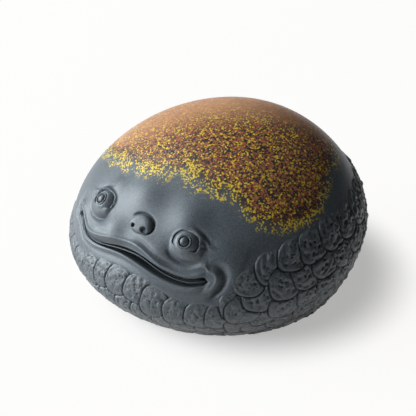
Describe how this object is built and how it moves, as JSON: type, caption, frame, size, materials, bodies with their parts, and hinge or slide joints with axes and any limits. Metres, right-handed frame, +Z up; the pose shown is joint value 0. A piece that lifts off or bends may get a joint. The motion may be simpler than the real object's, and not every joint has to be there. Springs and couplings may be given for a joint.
{
  "type": "toad tea pet",
  "caption": "Squat hollow stoneware toad for a tea tray: a domed speckled back, a broad smiling face and a band of overlapping round warts over a flat vented base.",
  "frame": {"origin": "on the floor under the middle of the figure's box", "axes": "+Z up, -Y towards where the face looks, +X to the toad's left"},
  "size_m": [0.0928, 0.0852, 0.0476],
  "materials": {
    "speckled_clay": "satin dark stoneware with gold and rust clay grains pressed into the back",
    "body_clay": "satin dark grey stoneware, unglazed",
    "wart_clay": "satin dark grey stoneware, stippled",
    "eye_clay": "burnished dark grey stoneware",
    "pupil_clay": "burnished near-black stoneware"
  },
  "bodies": {
    "root": {"crown_shell": "speckled_clay", "belly_shell": "body_clay", "base_slab": "body_clay", "nose": "body_clay", "upper_lip": "body_clay", "lower_lip": "body_clay", "tongue": "body_clay", "cheek_fold_left": "body_clay", "upper_eyelid_left": "body_clay", "lower_eyelid_left": "body_clay", "eyeball_left": "eye_clay", "iris_left": "eye_clay", "pupil_left": "pupil_clay", "cheek_fold_right": "body_clay", "upper_eyelid_right": "body_clay", "lower_eyelid_right": "body_clay", "eyeball_right": "eye_clay", "iris_right": "eye_clay", "pupil_right": "pupil_clay", "wart_strip_01": "wart_clay", "wart_strip_02": "wart_clay", "wart_strip_03": "wart_clay", "wart_strip_04": "wart_clay", "wart_strip_05": "wart_clay", "wart_strip_06": "wart_clay", "wart_strip_07": "wart_clay", "wart_strip_08": "wart_clay", "wart_strip_09": "wart_clay", "wart_strip_10": "wart_clay", "wart_strip_11": "wart_clay", "wart_strip_12": "wart_clay", "wart_strip_13": "wart_clay", "wart_strip_14": "wart_clay", "wart_strip_15": "wart_clay", "wart_strip_16": "wart_clay", "wart_strip_17": "wart_clay", "wart_strip_18": "wart_clay", "wart_strip_19": "wart_clay", "wart_strip_20": "wart_clay", "wart_strip_21": "wart_clay", "wart_strip_22": "wart_clay", "wart_strip_23": "wart_clay", "wart_strip_24": "wart_clay", "wart_strip_25": "wart_clay", "wart_strip_26": "wart_clay", "wart_strip_27": "wart_clay", "wart_strip_28": "wart_clay", "wart_strip_29": "wart_clay", "wart_strip_30": "wart_clay", "wart_strip_31": "wart_clay", "wart_strip_32": "wart_clay", "wart_strip_33": "wart_clay", "wart_strip_34": "wart_clay"}
  },
  "joints": []
}
